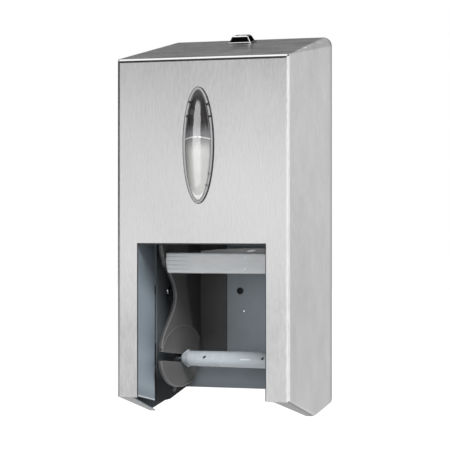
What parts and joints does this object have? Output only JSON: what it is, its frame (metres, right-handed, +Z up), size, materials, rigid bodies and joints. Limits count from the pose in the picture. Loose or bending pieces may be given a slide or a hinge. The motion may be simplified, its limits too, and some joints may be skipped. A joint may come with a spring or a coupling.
{
  "type": "twin toilet roll dispenser",
  "caption": "Tall brushed steel wall dispenser for two toilet rolls, open at the lower front, with an oval window, a key lock and a cover that swings down.",
  "frame": {"origin": "centre of the four wall holes, on the wall plane, at mid height of the front panel", "axes": "+Z up, -Y out of the wall towards the user, +X to the right of someone who faces the front"},
  "size_m": [0.185, 0.1635, 0.4035],
  "materials": {
    "brushed": "brushed, upright grain",
    "window": "clear moulded, glossy",
    "frame": "matt moulded",
    "chrome": "polished",
    "zinc": "zinc plated",
    "plug": "polished, darker",
    "chassis": "satin blue-grey",
    "arm": "matt moulded",
    "nylon": "matt natural nylon",
    "plug_rubber": "black, matt",
    "screw": "black",
    "bar": "satin grey",
    "sleeve": "satin light grey",
    "rod": "drawn rod",
    "spring": "blackened spring steel"
  },
  "bodies": {
    "chassis": {"back_plate": "chassis", "hole_plug": "plug_rubber", "hinge_bushes": "arm", "lock_keeper": "zinc", "keeper_rivets": "zinc", "left_arm": "arm", "right_arm": "arm", "arm_screws": "screw", "arm_brace": "arm", "side_buffers": "nylon", "buffer_rivets": "zinc"},
    "cover": {"cover_shell": "brushed", "window_lens": "window", "window_retainer": "frame", "lock_housing": "chrome", "lock_washer": "zinc", "lock_nut": "zinc", "hinge_lugs": "zinc", "hinge_pins": "zinc", "hinge_clips": "spring"},
    "lock_plug": {"lock_core": "plug", "lock_cam": "zinc", "cam_screw": "zinc"},
    "stop_bar": {"stop_bar": "bar"},
    "lower_spindle": {"lower_axle": "rod", "lower_axle_heads": "rod"},
    "lower_roller": {"lower_sleeve": "sleeve", "lower_end_caps": "sleeve"},
    "upper_spindle": {"upper_axle": "rod", "upper_axle_heads": "rod"},
    "upper_roller": {"upper_sleeve": "sleeve", "upper_end_caps": "sleeve"}
  },
  "joints": [
    {"name": "cover_hinge", "type": "hinge", "parent": "chassis", "child": "cover", "pos_m": [0, -0.045, -0.1705], "axis": [1, 0, 0], "range_deg": [0, 95]},
    {"name": "lock_turn", "type": "hinge", "parent": "cover", "child": "lock_plug", "pos_m": [-0.0005, -0.027, 0.19937], "axis": [0, -0.204, 0.979], "range_deg": [0, 90]},
    {"name": "stop_bar_tilt", "type": "hinge", "parent": "chassis", "child": "stop_bar", "pos_m": [0, -0.1108, -0.0335], "axis": [1, 0, 0], "range_deg": [0, 30]},
    {"name": "lower_slide", "type": "slide", "parent": "chassis", "child": "lower_spindle", "axis": [0, -0.9951, 0.0993], "range_m": [0, 0.11]},
    {"name": "lower_spin", "type": "hinge", "parent": "lower_spindle", "child": "lower_roller", "pos_m": [0, -0.065, -0.1383], "axis": [1, 0, 0], "continuous": true},
    {"name": "upper_slide", "type": "slide", "parent": "chassis", "child": "upper_spindle", "axis": [0, -0.9951, 0.0993], "range_m": [0, 0.067]},
    {"name": "upper_spin", "type": "hinge", "parent": "upper_spindle", "child": "upper_roller", "pos_m": [0, -0.065, 0.0217], "axis": [1, 0, 0], "continuous": true}
  ]
}
